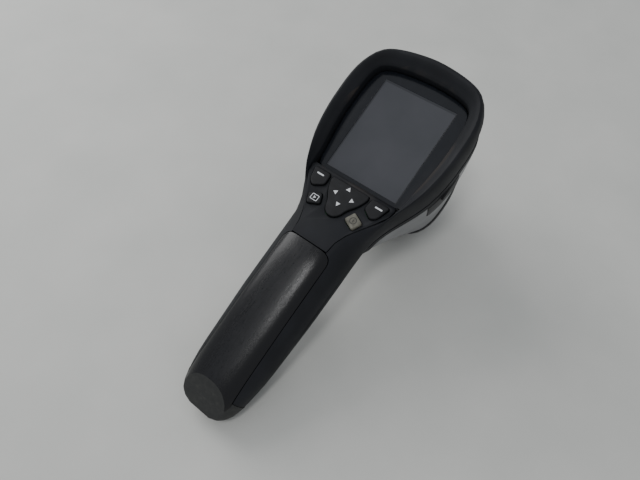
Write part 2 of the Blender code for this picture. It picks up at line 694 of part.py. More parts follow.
def rounded(corners, radius, steps=3):
    """A polygon with round corners."""
    result = []
    count = len(corners)
    for i, corner in enumerate(corners):
        here = Vector(corner)
        before = (Vector(corners[i - 1]) - here)
        after = (Vector(corners[(i + 1) % count]) - here)
        reach = min(radius, before.length * 0.45, after.length * 0.45)
        start = here + before.normalized() * reach
        end = here + after.normalized() * reach
        for step in range(steps + 1):
            t = step / steps
            result.append(start * (1 - t) ** 2 + here * 2 * t * (1 - t) + end * t * t)
    return result


def to_keypad(points):
    """Turn (x, y) of the camera frame into the sloping keypad's own plane."""
    return [Vector((x, (y - KEYPAD_TOP_Y) / cos(KEYPAD_TILT))) for x, y in points]


def small_key_outline(side):
    turn = SMALL_KEY_TURN * -side
    points = []
    for x, y in SMALL_KEY:
        points.append((SMALL_KEY_AT[0] * side + x * cos(turn) - y * sin(turn),
                       SMALL_KEY_AT[1] + x * sin(turn) + y * cos(turn)))
    return points


def build_keypad(pose, keypad, paint):
    half = [(x, y) for x, y in ((26.8, -32.1), (25.6, -38.5), (21.8, -45), (17.2, -52), (13.7, -58),
                                (11.5, -64), (10.9, COVER_TOP + 0.6))]
    outline = to_keypad([(-x, y) for x, y in half] + [(x, y) for x, y in reversed(half)])
    plate = link("keypad_plate", slab(outline, -1.7, 0.0), paint["black_shell"], keypad)
    lip = link("keypad_lip", block((-24.8, -2.0, -6.4), (24.8, -0.6, -1.0)), None, keypad)
    combine(plate, lip, "UNION")
    keys = {}
    for side, name in ((1, "right_select_key"), (-1, "left_select_key")):
        keys[name] = (rounded(to_keypad([(x * side, y) for x, y in SELECT_KEY]), 1.6), 1.2, "key_rubber")
    keys["power_key"] = (rounded(to_keypad(small_key_outline(1)), 1.0), 1.6, "key_grey")
    keys["archive_key"] = (rounded(to_keypad(small_key_outline(-1)), 1.2), 1.2, "key_rubber")
    for name, (outline, height, paint_name) in keys.items():
        middle = sum(outline, Vector((0, 0))) / len(outline)
        key_hole(plate, name, outline, keypad)
        key = link(name, slab(outline, -2.4, height), paint[paint_name], keypad,
                   pivot=(middle.x, middle.y, 0))
        soften(key, 0.4, 1, 60)
    pad_half = half_curve(NAV_HALF, (0, 2, 8), (3, 11))
    pad_outline = to_keypad([(p.x, p.y) for p in mirrored(pad_half)])
    key_hole(plate, "nav_pad", pad_outline, keypad)
    pad = link("nav_pad", slab(pad_outline, -1.1, 1.3), paint["key_rubber"], keypad, pivot=NAV_PIVOT)
    soften(pad, 0.4, 1, 50)
    gimbal = link("nav_gimbal", rod((NAV_PIVOT[0], NAV_PIVOT[1], -2.4), 3.2, 1.9, sides=24),
                  paint["black_plastic"], keypad, pivot=NAV_PIVOT)
    soften(gimbal, 0.3, 2)
    board = link("keypad_board", slab(to_keypad([(-20, -34.6), (-10, -56), (10, -56), (20, -34.6)]),
                                      -4.9, -3.7), paint["board_green"], keypad)
    soften(board, 0.2, 1)


# ---------------------------------------------------------------- lens and nose front

def build_lens(lens, paint):
    """Pieces round the lens axis; local +Z looks out of the lens, 0 is the bumper's front."""
    outline = mirrored(half_curve(NOSE_OUTLINE, counts=(24,)))
    rows = []
    for inset, z in ((0.3, -BUMPER_DEPTH), (-0.5, -BUMPER_DEPTH), (-0.7, -1.4), (-0.3, -0.5), (0.6, 0.0),
                     (5.6, 0.0), (6.6, -0.5), (6.8, -1.2), (6.8, -BUMPER_DEPTH), (0.3, -BUMPER_DEPTH)):
        rows.append([Vector((p.x, p.y, z)) for p in scaled_outline(outline, inset)])
    bm = loft(rows, closed=True, capped=False)
    bmesh.ops.remove_doubles(bm, verts=bm.verts, dist=0.001)
    bmesh.ops.recalc_face_normals(bm, faces=bm.faces)
    link("nose_bumper", bm, paint["rubber"], lens, sharp=50)

    bezel_outline = scaled_outline(outline, 7.1)
    bezel = link("lens_bezel", slab(bezel_outline, -4.6, -2.6), paint["bezel_black"], lens)
    throat = link("bezel_throat", rod((0, 0, -3.4), 6.9, 3.0, sides=48, radius_end=9.2), None, lens)
    combine(bezel, throat, "DIFFERENCE")
    arc_rows = []
    for radius in (KNOB_REACH - 1.8, KNOB_REACH + 1.8):
        for step in range(13):
            angle = radians(-76) - radians(82) * step / 12
            arc_rows.append((SHUTTER_PIVOT[0] + radius * cos(angle), SHUTTER_PIVOT[1] + radius * sin(angle)))
    arc = link("knob_slot", slab(arc_rows[:13] + list(reversed(arc_rows[13:])), -8, 2), None, lens)
    combine(bezel, arc, "DIFFERENCE")
    soften(bezel, 0.25, 1)

    open_centre = (Vector((-14, 10)) @ Matrix.Rotation(SHUTTER_OPEN, 2)) + Vector(SHUTTER_PIVOT)
    knob = (Vector((0, -KNOB_REACH)) @ Matrix.Rotation(SHUTTER_OPEN, 2)) + Vector(SHUTTER_PIVOT)
    pivot = (SHUTTER_PIVOT[0], SHUTTER_PIVOT[1], 0)
    blade = link("shutter_blade", rod((open_centre.x, open_centre.y, -5.5), 8.2, 1.1, sides=40),
                 paint["black_plastic"], lens, pivot=pivot)
    hub = link("blade_hub", rod((*SHUTTER_PIVOT, -5.5), 3.4, 1.1, sides=32), None, lens)
    arm_side = (open_centre - Vector(SHUTTER_PIVOT)).normalized()
    across = Vector((-arm_side.y, arm_side.x)) * 3.0
    arm = slab([Vector(SHUTTER_PIVOT) - across, open_centre - across, open_centre + across,
                Vector(SHUTTER_PIVOT) + across], -6.05, -4.95)
    combine(blade, link("blade_arm", arm, None, lens), "UNION")
    combine(blade, hub, "UNION")
    tail_side = (knob - Vector(SHUTTER_PIVOT)).normalized()
    across = Vector((-tail_side.y, tail_side.x)) * 1.6
    tail = slab([Vector(SHUTTER_PIVOT) - across, knob - across, knob + across,
                 Vector(SHUTTER_PIVOT) + across], -6.05, -4.95)
    combine(blade, link("blade_tail", tail, None, lens), "UNION")
    stem = link("blade_knob", rod((knob.x, knob.y, -3.4), 1.45, 5.2, sides=24), None, lens)
    combine(blade, stem, "UNION")
    eye = link("blade_eye", rod((*SHUTTER_PIVOT, -5), 1.3, 8, sides=24), None, lens)
    combine(blade, eye, "DIFFERENCE")
    link("shutter_pin", rod((*SHUTTER_PIVOT, -6.4), 1.2, 3.2, sides=24), paint["steel"], lens)

    link("germanium_lens", turned([(0, -7.4), (3.0, -7.5), (5.2, -7.9), (7.0, -8.6), (7.0, -10.6),
                                   (0, -10.6)]), paint["germanium"], lens)
    link("lens_o_ring", turned([(7.6 + 0.5 * cos(radians(a)), -9.4 + 0.5 * sin(radians(a)))
                                for a in range(0, 360, 45)]), paint["rubber"], lens, sharp=80)
    link("lens_barrel", turned([(8.4, -7.0), (10.4, -7.0), (10.4, -22.0), (12.5, -22.0), (12.5, -24.5),
                                (5.0, -24.5), (5.0, -11.0), (8.4, -11.0)]), paint["aluminium"], lens)
    sensor = link("detector_module", block((-13, -12, -41), (13, 12, -24.8)), paint["steel"], lens)
    soften(sensor, 0.8, 2)


# ---------------------------------------------------------------- trigger and fasteners

def build_trigger(pose, paint):
    profile = [(-72.0, -19.0), (-72.0, -16.2), (-73.0, -13.2), (-77, -13.0), (-78.5, -15.0), (-101.4, -15.4),
               (-102.2, -17.5), (-101.6, -24.0), (-99.0, -26.4), (-94, -26.6), (-86, -25.2),
               (-78, -22.2)]
    rows = [[Vector((x, y, z)) for y, z in profile] for x in (-TRIGGER_HALF, TRIGGER_HALF)]
    trigger = link("trigger", loft(rows), paint["black_plastic"], pose, pivot=TRIGGER_PIVOT)
    bore = link("trigger_bore", rod(TRIGGER_PIVOT, 1.27, 40, "X", 24), None, pose)
    combine(trigger, bore, "DIFFERENCE")
    soften(trigger, 1.2, 2, 50)
    link("trigger_pin", rod(TRIGGER_PIVOT, 1.2, 28.0, "X", 24), paint["steel"], pose)


def build_screws(pose, paint):
    for name, x, y in SCREWS:
        head = POST_BASE + 0.6
        profile = [(0, head), (2.3, head), (2.3, head + 1.5), (1.15, head + 1.5), (1.15, -1.0), (0, -1.0)]
        screw = link("neck_screw_" + name, turned(profile, (x, y), 20), paint["steel"], pose)
        recess = link("recess_" + name, rod((x, y, head), 0.9, 1.6, sides=6), None, pose)
        combine(screw, recess, "DIFFERENCE")
    for name, x, y in BOARD_SCREWS:
        profile = [(0, -11.0), (1.9, -11.0), (1.9, -9.75), (0.95, -9.75), (0.95, -6.0), (0, -6.0)]
        link("board_screw_" + name, turned(profile, (x, y), 16), paint["steel"], pose)


# ---------------------------------------------------------------- assembly

def main():
    clear_scene()
    paint = {
        "black_shell": material("black_shell", (0.022, 0.024, 0.027), 0.55),
        "nose_grey": material("nose_grey", (0.30, 0.31, 0.33), 0.45),
        "grip_gloss": material("grip_gloss", (0.016, 0.017, 0.02), 0.28),
        "butt_grey": material("butt_grey", (0.045, 0.047, 0.045), 0.6),
        "plate_black": material("plate_black", (0.016, 0.02, 0.025), 0.3),
        "window_glass": material("window_glass", (0.35, 0.37, 0.4), 0.08, 0.0, 0.35),
        "lcd": material("lcd", (0.06, 0.062, 0.068), 0.35),
        "key_rubber": material("key_rubber", (0.02, 0.021, 0.023), 0.6),
        "key_grey": material("key_grey", (0.30, 0.29, 0.25), 0.6),
        "rubber": material("rubber", (0.012, 0.012, 0.013), 0.7),
        "bezel_black": material("bezel_black", (0.02, 0.02, 0.022), 0.4),
        "black_plastic": material("black_plastic", (0.02, 0.02, 0.022), 0.5),
        "germanium": material("germanium", (0.20, 0.20, 0.22), 0.12, 0.9),
        "aluminium": material("aluminium", (0.55, 0.56, 0.58), 0.35, 1.0),
        "steel": material("steel", (0.5, 0.5, 0.52), 0.3, 1.0),
        "brass": material("brass", (0.6, 0.45, 0.2), 0.35, 1.0),
        "board_green": material("board_green", (0.02, 0.16, 0.07), 0.5),
        "battery_blue": material("battery_blue", (0.03, 0.08, 0.25), 0.45),
    }
    rest = Matrix.Translation(Vector(REST_SHIFT) * MM) @ Matrix.Rotation(REST_PITCH, 4, "X")
    pose = frame_empty("resting_pose", rest)
    keypad_place = (Matrix.Translation(Vector((0, KEYPAD_TOP_Y, KEYPAD_TOP_Z)) * MM)
                    @ Matrix.Rotation(KEYPAD_TILT, 4, "X"))
    keypad = frame_empty("keypad_frame", keypad_place, pose)
    lens_turn = Matrix(((-1, 0, 0, 0), (0, cos(NOSE_TILT), sin(NOSE_TILT), 0),
                        (0, sin(NOSE_TILT), -cos(NOSE_TILT), 0), (0, 0, 0, 1)))
    lens = frame_empty("lens_frame", Matrix.Translation(Vector(NOSE_CENTRE) * MM) @ lens_turn, pose)

    build_shells(pose, lens, paint)
    build_connector_cover(pose, paint)
    build_display(pose, paint)
    build_boards(pose, paint)
    build_keypad(pose, keypad, paint)
    build_lens(lens, paint)
    build_trigger(pose, paint)
    build_screws(pose, paint)


main()
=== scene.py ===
"""Handheld thermal imaging camera lying display up on the chin of its nose and the butt of its grip.

The file follows the camera as it is put together: shells, nose, display, keypad, battery, boards,
lens, trigger and fasteners, and then the table, the light and the view.  Lengths are in metres.
"""
import json
from math import cos, radians

import bpy
from mathutils import Matrix, Vector

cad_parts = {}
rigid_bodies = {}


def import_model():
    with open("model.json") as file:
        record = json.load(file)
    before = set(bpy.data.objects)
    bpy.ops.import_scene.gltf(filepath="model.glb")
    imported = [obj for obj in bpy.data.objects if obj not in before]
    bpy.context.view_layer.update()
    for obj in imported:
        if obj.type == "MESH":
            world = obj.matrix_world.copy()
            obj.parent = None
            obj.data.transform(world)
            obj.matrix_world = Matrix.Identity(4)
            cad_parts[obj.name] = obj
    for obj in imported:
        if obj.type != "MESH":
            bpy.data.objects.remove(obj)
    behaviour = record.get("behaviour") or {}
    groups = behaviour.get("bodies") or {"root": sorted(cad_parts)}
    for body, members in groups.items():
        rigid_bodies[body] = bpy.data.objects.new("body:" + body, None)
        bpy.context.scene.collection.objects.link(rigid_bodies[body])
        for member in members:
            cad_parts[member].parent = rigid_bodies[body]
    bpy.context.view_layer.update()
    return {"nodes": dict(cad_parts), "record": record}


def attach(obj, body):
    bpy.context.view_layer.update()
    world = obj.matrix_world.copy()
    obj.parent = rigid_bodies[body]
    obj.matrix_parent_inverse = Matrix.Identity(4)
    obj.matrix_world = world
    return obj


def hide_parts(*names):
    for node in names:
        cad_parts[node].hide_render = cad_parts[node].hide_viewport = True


for thing in list(bpy.data.objects):
    bpy.data.objects.remove(thing)
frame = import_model()


# ---- Rear shell and the other half of the grip.
# Injection moulded PC/ABS with a spark-eroded grain, closed by two screws at the neck.  Handling
# has left its gloss uneven, and the edge round the display is rubbed to a dull brown.
MM = 0.001
JOINED = 0.005 * MM                         # points closer than this are one point
PITCH = radians(25.008)                     # display plane against the table
DISPLAY_CENTRE = Vector((0.0, 49.877, 78.515)) * MM
CAMERA_AXES = Matrix.Translation(DISPLAY_CENTRE) @ Matrix.Rotation(PITCH, 4, "X")


def linear(colour):
    """An sRGB hex colour as the linear colour a shader takes."""
    shares = [int(colour[i:i + 2], 16) / 255 for i in (1, 3, 5)]
    return [c / 12.92 if c <= 0.04045 else ((c + 0.055) / 1.055) ** 2.4 for c in shares] + [1.0]


def add(tree, kind, values=None, links=None, **settings):
    """Adds a shader node with its settings, its input values and the sockets that feed it."""
    node = tree.nodes.new(kind)
    for name, value in settings.items():
        setattr(node, name, value)
    for name, value in (values or {}).items():
        node.inputs[name].default_value = value
    for name, source in (links or {}).items():
        tree.links.new(source, node.inputs[name])
    return node


def start(name):
    """A new material: its tree, its surface, and millimetre axes laid along the display."""
    material = bpy.data.materials.new(name)
    material.use_nodes = True
    tree = material.node_tree
    place = add(tree, "ShaderNodeTexCoord")
    axes = add(tree, "ShaderNodeMapping",
               {"Location": DISPLAY_CENTRE, "Rotation": (PITCH, 0, 0), "Scale": (MM, MM, MM)},
               {"Vector": place.outputs["Object"]}, vector_type="TEXTURE")
    return material, tree, tree.nodes["Principled BSDF"], axes.outputs["Vector"]


def blended(tree, share, stops):
    """A colour that follows a share between stops, each a position and a hex colour or a grey."""
    node = add(tree, "ShaderNodeValToRGB", links={"Fac": share})
    band = node.color_ramp
    while len(band.elements) < len(stops):
        band.elements.new(0.5)
    for element, (position, colour) in zip(band.elements, stops):
        element.position = position
        element.color = linear(colour) if isinstance(colour, str) else (colour, colour, colour, 1)
    return node.outputs["Color"]


def alone(piece):
    """Leaves only this piece selected and active."""
    bpy.ops.object.select_all(action="DESELECT")
    piece.select_set(True)
    bpy.context.view_layer.objects.active = piece


def coat(piece, material):
    """Gives a piece one material."""
    piece.data.materials.clear()
    piece.data.materials.append(material)


def coloured(tree, surface, share, stops):
    """Lets the colour of a surface follow a share between stops."""
    tree.links.new(blended(tree, share, stops), surface.inputs["Base Color"])


def glossed(tree, surface, share, at_low, at_high):
    """Lets the roughness of a surface follow a share."""
    gloss = add(tree, "ShaderNodeMapRange", {"To Min": at_low, "To Max": at_high}, {"Value": share})
    tree.links.new(gloss.outputs["Result"], surface.inputs["Roughness"])


def relieved(tree, surface, height, strength, depth):
    """Gives a surface a fine relief, its depth in millimetres."""
    relief = add(tree, "ShaderNodeBump", {"Strength": strength, "Distance": depth * MM}, {"Height": height})
    tree.links.new(relief.outputs["Normal"], surface.inputs["Normal"])


def duplicate(source, name):
    """A copy of a piece with a mesh of its own and none of the frame's notes on it."""
    piece = source.copy()
    piece.data = source.data.copy()
    piece.name = name
    for key in list(piece.keys()):
        del piece[key]
    bpy.context.scene.collection.objects.link(piece)
    return piece


def moulded(node_name, material, edge=0.25, steps=2, angle=32.0, flat=1.5):
    """A frame solid as a finished moulding: triangles joined, edges rounded, curves smooth."""
    piece = duplicate(frame["nodes"][node_name], node_name + "_moulding")
    piece.parent = None
    alone(piece)
    bpy.ops.mesh.customdata_custom_splitnormals_clear()
    bpy.ops.object.mode_set(mode="EDIT")
    bpy.ops.mesh.select_all(action="SELECT")
    bpy.ops.mesh.remove_doubles(threshold=JOINED)
    bpy.ops.mesh.dissolve_limited(angle_limit=radians(flat))
    bpy.ops.object.mode_set(mode="OBJECT")
    if edge:
        bevel = piece.modifiers.new("edge", "BEVEL")
        bevel.width = edge * MM
        bevel.segments = steps
        bevel.limit_method = "ANGLE"
        bevel.angle_limit = radians(angle)
        bpy.ops.object.modifier_apply(modifier="edge")
    bpy.ops.object.shade_smooth_by_angle(angle=radians(angle))
    bodies = frame["record"]["behaviour"]["bodies"]
    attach(piece, [name for name, nodes in bodies.items() if node_name in nodes][0])
    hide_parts(node_name)
    coat(piece, material)
    return piece


shell_abs, tree, surface, axes = start("textured_pc_abs_black")
grain = add(tree, "ShaderNodeTexNoise", {"Scale": 2.6, "Detail": 2.0}, {"Vector": axes})      # 0.4 mm
handled = add(tree, "ShaderNodeTexNoise", {"Scale": 0.05, "Detail": 5.0}, {"Vector": axes})   # 20 mm
dust = add(tree, "ShaderNodeTexVoronoi", {"Scale": 0.55}, {"Vector": axes})                   # 2 mm apart
specks = blended(tree, dust.outputs["Distance"], [(0.0, 1.0), (0.045, 0.0)])
tone = blended(tree, handled.outputs["Fac"], [(0.3, "#101216"), (0.7, "#191b20")])
split = add(tree, "ShaderNodeSeparateXYZ", links={"Vector": axes})
# The edge of the recess lies 3.9 mm above the display.  It is rubbed from 3.8 to 5 mm and fades out
# at 3.2 and 6.2 mm, inside an oval that reaches 34 mm to the sides and 42 mm along the camera.
height = add(tree, "ShaderNodeMapRange", {"From Min": 2.0, "From Max": 8.0},
             {"Value": split.outputs["Z"]})
band = blended(tree, height.outputs["Result"], [(0.2, 0.0), (0.3, 1.0), (0.5, 1.0), (0.7, 0.0)])
oval = add(tree, "ShaderNodeMapping", {"Scale": (1 / 34, 1 / 42, 0)}, {"Vector": axes})
reach = add(tree, "ShaderNodeVectorMath", links={0: oval.outputs["Vector"]}, operation="LENGTH")
inside = add(tree, "ShaderNodeMath", {1: 1.0}, {0: reach.outputs["Value"]}, operation="LESS_THAN")
patchy = blended(tree, handled.outputs["Fac"], [(0.42, 0.0), (0.6, 0.6)])
worn = add(tree, "ShaderNodeMath", links={0: band, 1: inside.outputs["Value"]}, operation="MULTIPLY")
worn = add(tree, "ShaderNodeMath", links={0: worn.outputs["Value"], 1: patchy}, operation="MULTIPLY")
mix = add(tree, "ShaderNodeMixRGB", {"Color2": linear("#342e29")},
          {"Fac": worn.outputs["Value"], "Color1": tone})
mix = add(tree, "ShaderNodeMixRGB", {"Color2": linear("#4a4b4c")},
          {"Fac": specks, "Color1": mix.outputs["Color"]})
tree.links.new(mix.outputs["Color"], surface.inputs["Base Color"])
glossed(tree, surface, handled.outputs["Fac"], 0.74, 0.56)
relieved(tree, surface, grain.outputs["Fac"], 0.45, 0.05)
surface.inputs["IOR"].default_value = 1.5
surface.inputs["Specular IOR Level"].default_value = 0.3       # the grain breaks the reflection up
moulded("rear_shell", shell_abs, edge=0.0, angle=40)
moulded("handle_front_shell", shell_abs, edge=0.0, angle=40)


# ---- Nose shell: the lower half of the head, which carries the lens at its end.
# PC/ABS sprayed with a light grey satin paint, which leaves a faint orange peel and is not quite
# even in tone.  It closes the head from below.
nose_paint, tree, surface, axes = start("satin_paint_light_grey")
peel = add(tree, "ShaderNodeTexNoise", {"Scale": 0.9, "Detail": 3.0}, {"Vector": axes})       # 1.1 mm
grime = add(tree, "ShaderNodeTexNoise", {"Scale": 0.09, "Detail": 5.0}, {"Vector": axes})     # 11 mm
coloured(tree, surface, grime.outputs["Fac"], [(0.25, "#7b7c7e"), (0.7, "#878889")])
glossed(tree, surface, grime.outputs["Fac"], 0.5, 0.34)
relieved(tree, surface, peel.outputs["Fac"], 0.25, 0.03)
surface.inputs["IOR"].default_value = 1.5
nose = moulded("nose_shell", nose_paint, edge=0.0, angle=40)

# The rear shell's black skirt reaches 4.8 mm below the split line and stands 0.4 mm off the nose.
SKIRT_EDGE = -16.8 * MM                     # height of its lower edge below the display
SKIRT_PROUD = 0.4 * MM
skirt = duplicate(nose, "shell_skirt")
alone(skirt)
display_normal = CAMERA_AXES.to_3x3() @ Vector((0, 0, 1))
bpy.ops.object.mode_set(mode="EDIT")
bpy.ops.mesh.select_all(action="SELECT")
bpy.ops.mesh.bisect(plane_co=CAMERA_AXES @ Vector((0, 0, SKIRT_EDGE)), plane_no=display_normal,
                    clear_inner=True, use_fill=True)
bpy.ops.mesh.select_all(action="SELECT")
bpy.ops.mesh.normals_make_consistent(inside=False)
bpy.ops.transform.shrink_fatten(value=SKIRT_PROUD)
bpy.ops.object.mode_set(mode="OBJECT")
bpy.ops.object.shade_smooth_by_angle(angle=radians(40))
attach(skirt, "body")
coat(skirt, shell_abs)


# ---- Nose bumper and connector cover.
# Thermoplastic rubber, matte and slightly chalky.  The bumper is stretched over the end of the
# nose, and the cover is a flap over the sockets with a rib to pull it open by.
rubber, tree, surface, axes = start("thermoplastic_rubber_black")
bloom = add(tree, "ShaderNodeTexNoise", {"Scale": 0.25, "Detail": 6.0}, {"Vector": axes})     # 4 mm
pores = add(tree, "ShaderNodeTexNoise", {"Scale": 4.0, "Detail": 1.0}, {"Vector": axes})      # 0.25 mm
coloured(tree, surface, bloom.outputs["Fac"], [(0.35, "#101011"), (0.75, "#1d1d1e")])
surface.inputs["Roughness"].default_value = 0.78
surface.inputs["Sheen Weight"].default_value = 0.08
surface.inputs["IOR"].default_value = 1.52
relieved(tree, surface, pores.outputs["Fac"], 0.3, 0.04)
moulded("nose_bumper", rubber, edge=0.0, angle=45)
flap = moulded("connector_cover", rubber, edge=0.35)

RIB_RADIUS = 0.7 * MM


def moulded_rib(piece, near, name, body, material, length, turned_about, sides):
    """A round rib on a piece, where its skin is nearest to a place in millimetres by the display."""
    spot = piece.closest_point_on_mesh(CAMERA_AXES @ (Vector(near) * MM))[1]
    bpy.ops.object.select_all(action="DESELECT")
    bpy.ops.mesh.primitive_cylinder_add(vertices=sides, radius=RIB_RADIUS, depth=length * MM)
    rib = bpy.context.object
    rib.name = name
    bpy.ops.object.mode_set(mode="EDIT")
    bpy.ops.mesh.select_all(action="SELECT")
    bpy.ops.transform.rotate(value=radians(90), orient_axis=turned_about, center_override=(0, 0, 0))
    bpy.ops.object.mode_set(mode="OBJECT")
    rib.matrix_world = Matrix.Translation(spot) @ CAMERA_AXES.to_3x3().to_4x4()
    bpy.ops.object.transform_apply(location=True, rotation=True, scale=True)
    bpy.ops.object.shade_smooth_by_angle(angle=radians(40))
    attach(rib, body)
    coat(rib, material)


moulded_rib(flap, (60.0, -6.0, -21.0), "connector_cover_rib", "connector_cover", rubber,
            length=13.0, turned_about="X", sides=24)


# ---- Display plate, window and panel.
# The plate is hard-coated acrylic printed black from behind, so it looks deep and faintly blue.
# The window has one finish for the pane and for the dark panel seen through it, which is off.
acrylic, tree, surface, axes = start("hard_coated_acrylic_black")
smear = add(tree, "ShaderNodeTexNoise", {"Scale": 0.12, "Detail": 6.0, "Distortion": 1.2}, {"Vector": axes})
lint = add(tree, "ShaderNodeTexVoronoi", {"Scale": 0.8}, {"Vector": axes})
tone = blended(tree, smear.outputs["Fac"], [(0.3, "#13161b"), (0.75, "#171a20")])
fluff = blended(tree, lint.outputs["Distance"], [(0.0, 0.35), (0.03, 0.0)])
mix = add(tree, "ShaderNodeMixRGB", {"Color2": linear("#6a6c70")},
          {"Fac": fluff, "Color1": tone})
tree.links.new(mix.outputs["Color"], surface.inputs["Base Color"])
glossed(tree, surface, smear.outputs["Fac"], 0.14, 0.2)
surface.inputs["IOR"].default_value = 1.49
moulded("display_plate", acrylic, edge=0.4, steps=3)

screen, tree, surface, axes = start("acrylic_window_over_dark_panel")
split = add(tree, "ShaderNodeSeparateXYZ", links={"Vector": axes})
# A darker strip, about 1 mm wide, is painted along the top and the left: painted shade where the recess
# shades the panel under the pane.
above = add(tree, "ShaderNodeMath", {1: 27.6}, {0: split.outputs["Y"]}, operation="GREATER_THAN")
beside = add(tree, "ShaderNodeMath", {1: -21.6}, {0: split.outputs["X"]}, operation="LESS_THAN")
painted_recess_shade = add(tree, "ShaderNodeMath", links={0: above.outputs["Value"], 1: beside.outputs["Value"]},
            operation="MAXIMUM")
smear = add(tree, "ShaderNodeTexNoise", {"Scale": 0.035, "Detail": 3.0}, {"Vector": axes})    # 28 mm
tone = blended(tree, smear.outputs["Fac"], [(0.35, "#424448"), (0.7, "#494a4f")])
# The colour #35373b is the painted shade of that strip, not a colour of the panel.
mix = add(tree, "ShaderNodeMixRGB", {"Color2": linear("#35373b")},
          {"Fac": painted_recess_shade.outputs["Value"], "Color1": tone})
tree.links.new(mix.outputs["Color"], surface.inputs["Base Color"])
surface.inputs["Roughness"].default_value = 0.16
surface.inputs["IOR"].default_value = 1.49


def pick_faces(piece, test):
    """Leaves the piece in edit mode with only the faces selected that pass a test."""
    alone(piece)
    bpy.ops.object.mode_set(mode="EDIT")
    bpy.ops.mesh.select_mode(type="FACE")
    bpy.ops.mesh.select_all(action="DESELECT")
    bpy.ops.object.mode_set(mode="OBJECT")
    for face in piece.data.polygons:
        face.select = test(face)
    bpy.ops.object.mode_set(mode="EDIT")


# The pane is stepped: its flange is glued behind the plate, and its face fills the opening.
FLANGE_X = 49.0 * MM
FLANGE_Y = 62.0 * MM
FLANGE_THICK = 1.0 * MM
FLANGE_WIDTH = 2.08 * MM                    # from its edge to the raised face
FLANGE_MIDDLE = -2.2 * MM                   # height of its middle against the display
FACE_RISE = 1.55 * MM
bpy.ops.object.select_all(action="DESELECT")
bpy.ops.mesh.primitive_cube_add(size=1.0)
pane = bpy.context.object
pane.name = "stepped_window_pane"
bpy.ops.object.mode_set(mode="EDIT")
bpy.ops.transform.resize(value=(FLANGE_X, FLANGE_Y, FLANGE_THICK))
bpy.ops.object.mode_set(mode="OBJECT")
pick_faces(pane, lambda face: face.normal.z > 0.9)
bpy.ops.mesh.inset(thickness=FLANGE_WIDTH, depth=0)
bpy.ops.mesh.extrude_region_move(TRANSFORM_OT_translate={"value": (0, 0, FACE_RISE)})
bpy.ops.object.mode_set(mode="OBJECT")
pane.matrix_world = CAMERA_AXES @ Matrix.Translation((0, 0, FLANGE_MIDDLE))
bpy.ops.object.transform_apply(location=True, rotation=True, scale=True)
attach(pane, "body")
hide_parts("display_window")
coat(pane, screen)

panel_steel, tree, surface, axes = start("stamped_steel_panel_frame")
brush = add(tree, "ShaderNodeTexNoise", {"Scale": 3.0, "Detail": 2.0}, {"Vector": axes})
coloured(tree, surface, brush.outputs["Fac"], [(0.3, "#8b8d90"), (0.7, "#a2a4a6")])
surface.inputs["Metallic"].default_value = 1.0
surface.inputs["Roughness"].default_value = 0.38
coat(frame["nodes"]["lcd_panel"], panel_steel)


# ---- Keypad: the plate, the keys that come up through it, and the prints on them.
# The plate is the same grained plastic as the shell.  The keys are one silicone mat each, moulded
# with round shoulders and screen printed in white, apart from the grey key, which is printed dark.
KEYPAD_TOP = Vector((0, -32.0, 5.2))        # its upper edge, in millimetres by the display
KEYPAD_TILT = -0.1781                       # radians against the display, a slope of 0.18
KEYPAD_AXES = (CAMERA_AXES @ Matrix.Translation(KEYPAD_TOP * MM)
               @ Matrix.Rotation(KEYPAD_TILT, 4, "X"))
CORNER_CUT = (25.9, -33.0)                  # a point on the cut across the plate's upper corner
PRINT = 0.08 * MM                           # thickness of a print
SUNK = 0.03                                 # how deep it sits in the key, in millimetres

silicone, tree, surface, axes = start("silicone_rubber_black")
touch = add(tree, "ShaderNodeTexNoise", {"Scale": 0.3, "Detail": 5.0}, {"Vector": axes})      # 3 mm
fine = add(tree, "ShaderNodeTexNoise", {"Scale": 3.5, "Detail": 1.0}, {"Vector": axes})
coloured(tree, surface, touch.outputs["Fac"], [(0.3, "#0a0b0e"), (0.7, "#121317")])
glossed(tree, surface, touch.outputs["Fac"], 0.72, 0.58)
relieved(tree, surface, fine.outputs["Fac"], 0.2, 0.03)
surface.inputs["IOR"].default_value = 1.41

silicone_grey, tree, surface, axes = start("silicone_rubber_warm_grey")
touch = add(tree, "ShaderNodeTexNoise", {"Scale": 0.5, "Detail": 6.0}, {"Vector": axes})      # 2 mm
coloured(tree, surface, touch.outputs["Fac"], [(0.3, "#55534a"), (0.7, "#76746a")])
surface.inputs["Roughness"].default_value = 0.6
surface.inputs["IOR"].default_value = 1.41

plate = moulded("keypad_plate", shell_abs, edge=0.2)
for side in (-1, 1):                        # its upper corners are blunt where they meet the wall
    alone(plate)
    corner = CAMERA_AXES @ (Vector((CORNER_CUT[0] * side, CORNER_CUT[1], KEYPAD_TOP.z)) * MM)
    outward = CAMERA_AXES.to_3x3() @ Vector((side, 1.0, 0))
    bpy.ops.object.mode_set(mode="EDIT")
    bpy.ops.mesh.select_all(action="SELECT")
    bpy.ops.mesh.bisect(plane_co=corner, plane_no=outward, clear_outer=True, use_fill=True)
    bpy.ops.object.mode_set(mode="OBJECT")
for key_name in ("left_select_key", "right_select_key", "archive_key"):
    moulded(key_name, silicone, edge=0.3, steps=3, angle=28)
moulded("power_key", silicone_grey, edge=0.3, steps=3, angle=28)
moulded("nav_pad", silicone, edge=0.3, steps=3, angle=28)

ink_white, tree, surface, axes = start("screen_print_white")
wear = add(tree, "ShaderNodeTexNoise", {"Scale": 3.0, "Detail": 4.0}, {"Vector": axes})       # 0.3 mm
coloured(tree, surface, wear.outputs["Fac"], [(0.3, "#b4b6b8"), (0.55, "#e6e8ea")])
surface.inputs["Roughness"].default_value = 0.5
ink_dark, tree, surface, axes = start("screen_print_dark")
wear = add(tree, "ShaderNodeTexNoise", {"Scale": 3.0, "Detail": 4.0}, {"Vector": axes})
coloured(tree, surface, wear.outputs["Fac"], [(0.3, "#1b1b1a"), (0.6, "#2b2a27")])
surface.inputs["Roughness"].default_value = 0.5


